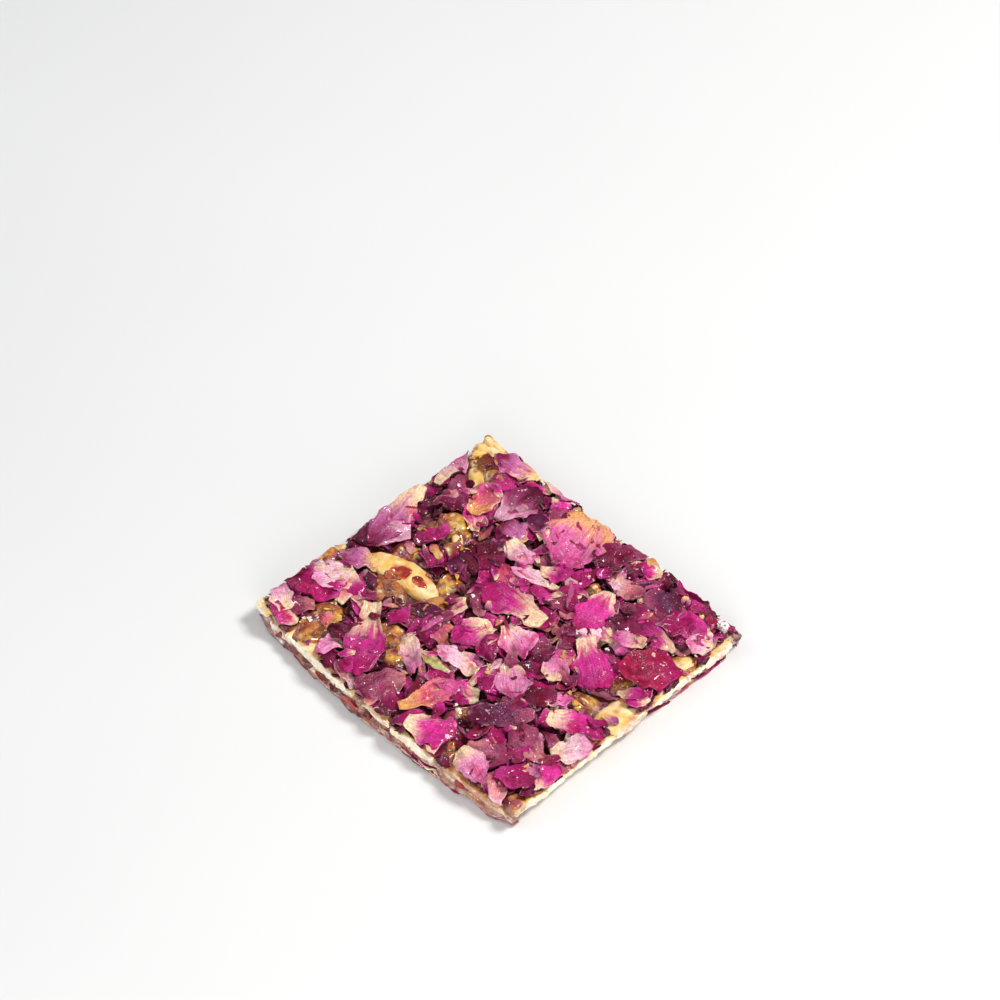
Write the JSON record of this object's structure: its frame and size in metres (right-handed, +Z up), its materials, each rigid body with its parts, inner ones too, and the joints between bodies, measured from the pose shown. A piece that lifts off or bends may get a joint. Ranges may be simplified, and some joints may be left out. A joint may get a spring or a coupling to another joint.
{
  "type": "rose chikki",
  "caption": "Thin knife-cut square of rose and nut brittle: flat sugar-bound core, curled dried petals and a cashew half on top, cut kernels showing at its sides.",
  "frame": {"origin": "on the resting surface, under the middle of the square", "axes": "+X along the longer cut edge, +Y along the shorter cut edge, +Z up out of the top side"},
  "size_m": [0.079, 0.0742, 0.0075],
  "materials": {
    "sugar_bound_core": "glossy sugar over pressed petals and nuts",
    "kernel": "matt cream nut flesh",
    "toffee_nut": "nut under browned sugar",
    "sugar": "rough white sugar",
    "petal_coral": "dry petal, soft sheen",
    "petal_plum": "dry petal, soft sheen",
    "petal_lilac": "dry petal, soft sheen",
    "petal_pink": "dry petal, soft sheen",
    "petal_pale": "dry petal, soft sheen",
    "petal_magenta": "dry petal, soft sheen",
    "sepal": "dry green leaf scale",
    "stalk": "dry grey-green stalk"
  },
  "bodies": {
    "root": {"almond_cut_back": "kernel", "almond_cut_left": "kernel", "brittle_core": "sugar_bound_core", "cashew_cut_back": "kernel", "cashew_cut_front": "kernel", "cashew_cut_left": "kernel", "cashew_cut_right": "kernel", "cashew_end_front": "kernel", "cashew_half_top": "kernel", "cashew_nub_corner": "kernel", "cashew_slice_back": "kernel", "cashew_slice_right": "kernel", "nut_toffee_corner": "toffee_nut", "nut_toffee_front": "toffee_nut", "nut_toffee_left": "toffee_nut", "nut_yellow_right": "kernel", "petal_bright_strip": "petal_magenta", "petal_centre_down": "petal_magenta", "petal_centre_right": "petal_magenta", "petal_coral": "petal_coral", "petal_coral_low": "petal_coral", "petal_corner_right": "petal_magenta", "petal_cream_tip": "petal_pink", "petal_crimson": "petal_magenta", "petal_crumpled_right": "petal_magenta", "petal_curled_corner": "petal_lilac", "petal_domed": "petal_magenta", "petal_edge_right": "petal_magenta", "petal_great_pink": "petal_pink", "petal_left_long": "petal_plum", "petal_lilac_corner": "petal_lilac", "petal_lilac_edge": "petal_lilac", "petal_lilac_right": "petal_lilac", "petal_long_folded": "petal_magenta", "petal_low_left": "petal_magenta", "petal_magenta_long": "petal_magenta", "petal_mauve": "petal_plum", "petal_orange_base": "petal_magenta", "petal_orange_red": "petal_coral", "petal_pale_folded": "petal_pale", "petal_pale_left": "petal_pale", "petal_pale_middle": "petal_pale", "petal_pink_edge": "petal_pink", "petal_pink_low": "petal_pink", "petal_plum_large": "petal_plum", "petal_plum_left": "petal_plum", "petal_plum_top": "petal_plum", "petal_purple_top": "petal_plum", "petal_round_centre": "petal_pink", "petal_salmon": "petal_coral", "petal_salmon_low": "petal_pale", "petal_slate_fold": "petal_plum", "petal_square": "petal_magenta", "petal_triangle": "petal_pink", "petal_violet_corner": "petal_lilac", "petal_white_pink": "petal_pale", "sepal_green": "sepal", "stalk_dry": "stalk", "sugar_lump": "sugar"}
  },
  "joints": []
}
